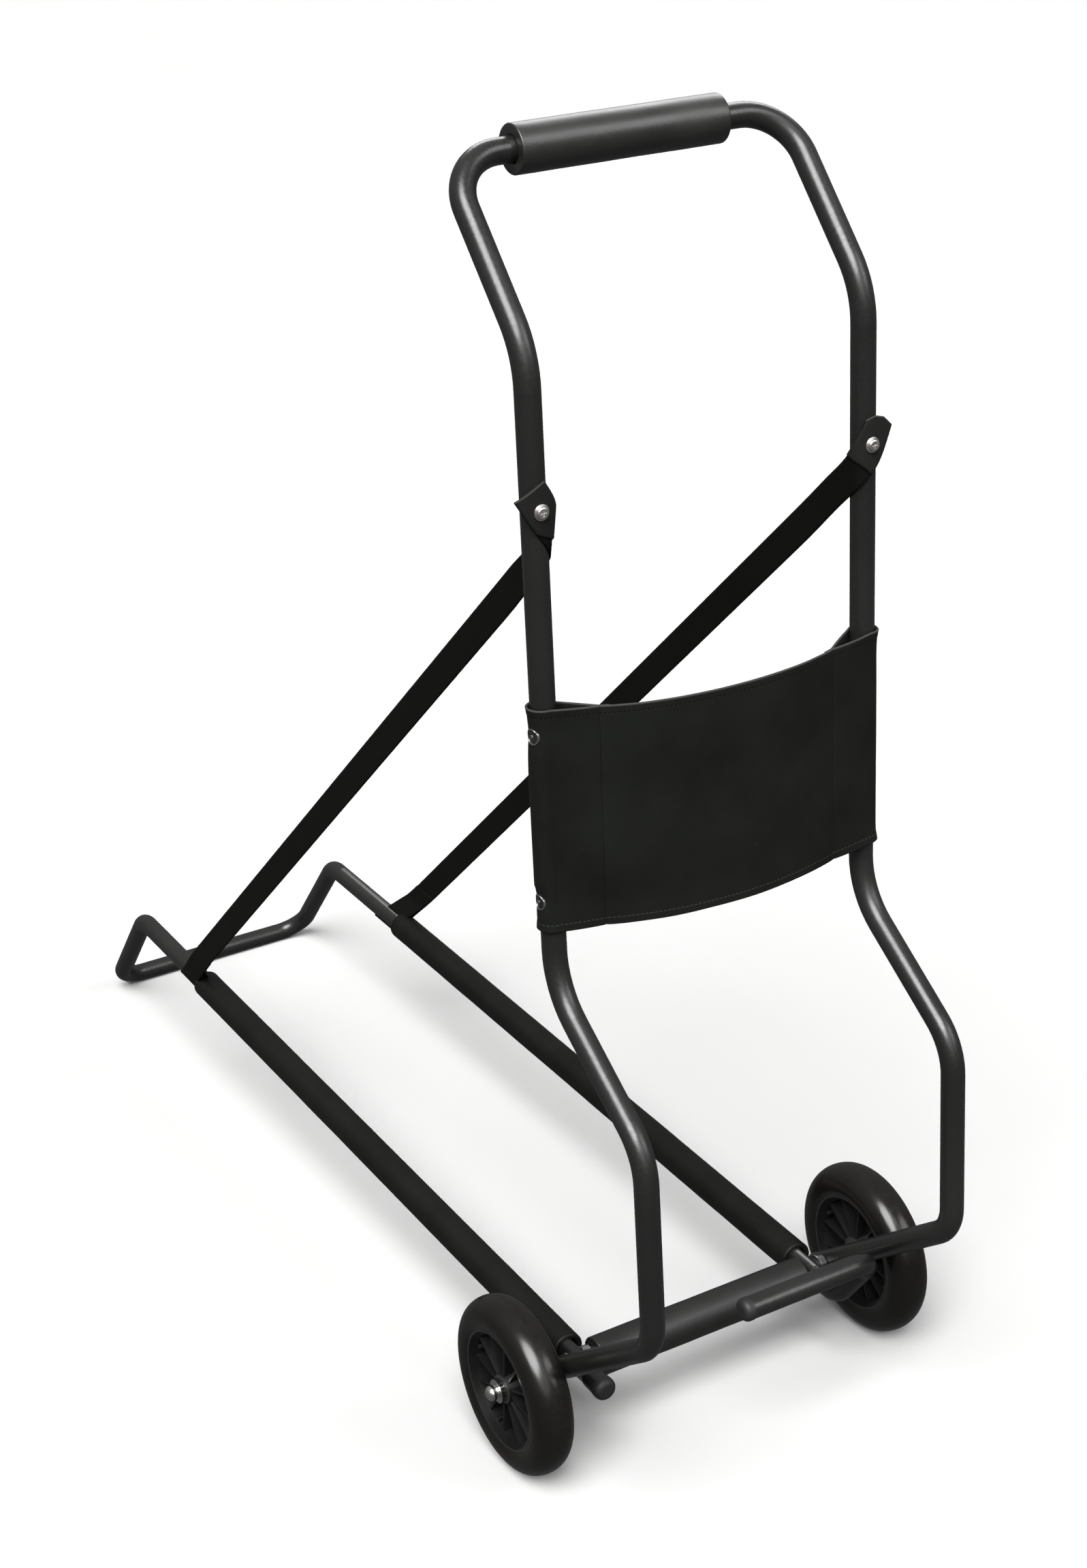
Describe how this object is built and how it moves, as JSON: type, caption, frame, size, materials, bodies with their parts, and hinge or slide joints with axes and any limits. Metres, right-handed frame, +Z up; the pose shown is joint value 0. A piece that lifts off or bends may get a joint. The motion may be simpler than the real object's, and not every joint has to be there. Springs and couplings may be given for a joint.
{
  "type": "folding table cart",
  "caption": "Folding wheeled cart for a folded massage table: bent-tube upright with foam grip hinged on the wheel axle to a low tube base with a front foot and holding straps.",
  "frame": {"origin": "on the floor under the middle of the cart's overall width and length, base opened out", "axes": "+Z up, +Y along the base rails towards the front foot, +X to the right seen from behind the grip"},
  "size_m": [0.401, 1.2157, 1.0595],
  "materials": {
    "frame_black": "satin black powder coat on steel tube",
    "foam_black": "matte closed-cell foam",
    "twill_black": "black twill canvas",
    "webbing_black": "black ribbed webbing",
    "rivet_gunmetal": "dark plated ring rivet",
    "bright_nickel": "bright nickel plate",
    "bright_chrome": "polished plate",
    "zinc_steel": "zinc plated steel",
    "nylon_dark": "moulded nylon",
    "cap_black": "soft moulded end cap",
    "hub_black": "moulded black plastic",
    "tyre_black": "smooth semi-gloss solid tyre"
  },
  "bodies": {
    "base": {"left_rail": "frame_black", "right_rail": "frame_black", "front_loop": "frame_black", "foot_bar": "frame_black", "left_rail_sleeve": "foam_black", "right_rail_sleeve": "foam_black", "cross_tube": "frame_black", "cross_sleeve": "foam_black", "axle_rod": "zinc_steel", "axle_nuts": "zinc_steel", "axle_washers": "zinc_steel", "axle_collars": "nylon_dark", "wheel_spacers": "bright_chrome", "outer_washers": "bright_chrome", "left_axle_cap": "bright_chrome", "right_axle_cap": "bright_chrome", "tail_cap": "cap_black", "foot_bar_cap": "cap_black", "left_strap_loop": "webbing_black", "right_strap_loop": "webbing_black"},
    "upright": {"left_upright": "frame_black", "right_upright": "frame_black", "handle_bow": "frame_black", "grip": "foam_black", "back_panel": "twill_black", "panel_rivets": "rivet_gunmetal", "strap_screws": "bright_nickel", "strap_washers": "bright_nickel", "left_leg_bush": "nylon_dark", "right_leg_bush": "nylon_dark", "left_leg_plug": "cap_black", "right_leg_plug": "cap_black", "left_strap": "webbing_black", "right_strap": "webbing_black"},
    "left_wheel": {"left_hub": "hub_black", "left_tyre": "tyre_black", "left_hub_bush": "nylon_dark"},
    "right_wheel": {"right_hub": "hub_black", "right_tyre": "tyre_black", "right_hub_bush": "nylon_dark"}
  },
  "joints": [
    {"name": "fold", "type": "hinge", "parent": "base", "child": "upright", "pos_m": [0, -0.4323, 0.075], "axis": [-1, 0, 0], "range_deg": [0, 86], "deforming": ["left_strap", "right_strap"]},
    {"name": "left_wheel_spin", "type": "hinge", "parent": "base", "child": "left_wheel", "pos_m": [-0.1745, -0.4323, 0.075], "axis": [1, 0, 0], "continuous": true},
    {"name": "right_wheel_spin", "type": "hinge", "parent": "base", "child": "right_wheel", "pos_m": [0.1745, -0.4323, 0.075], "axis": [1, 0, 0], "continuous": true}
  ]
}
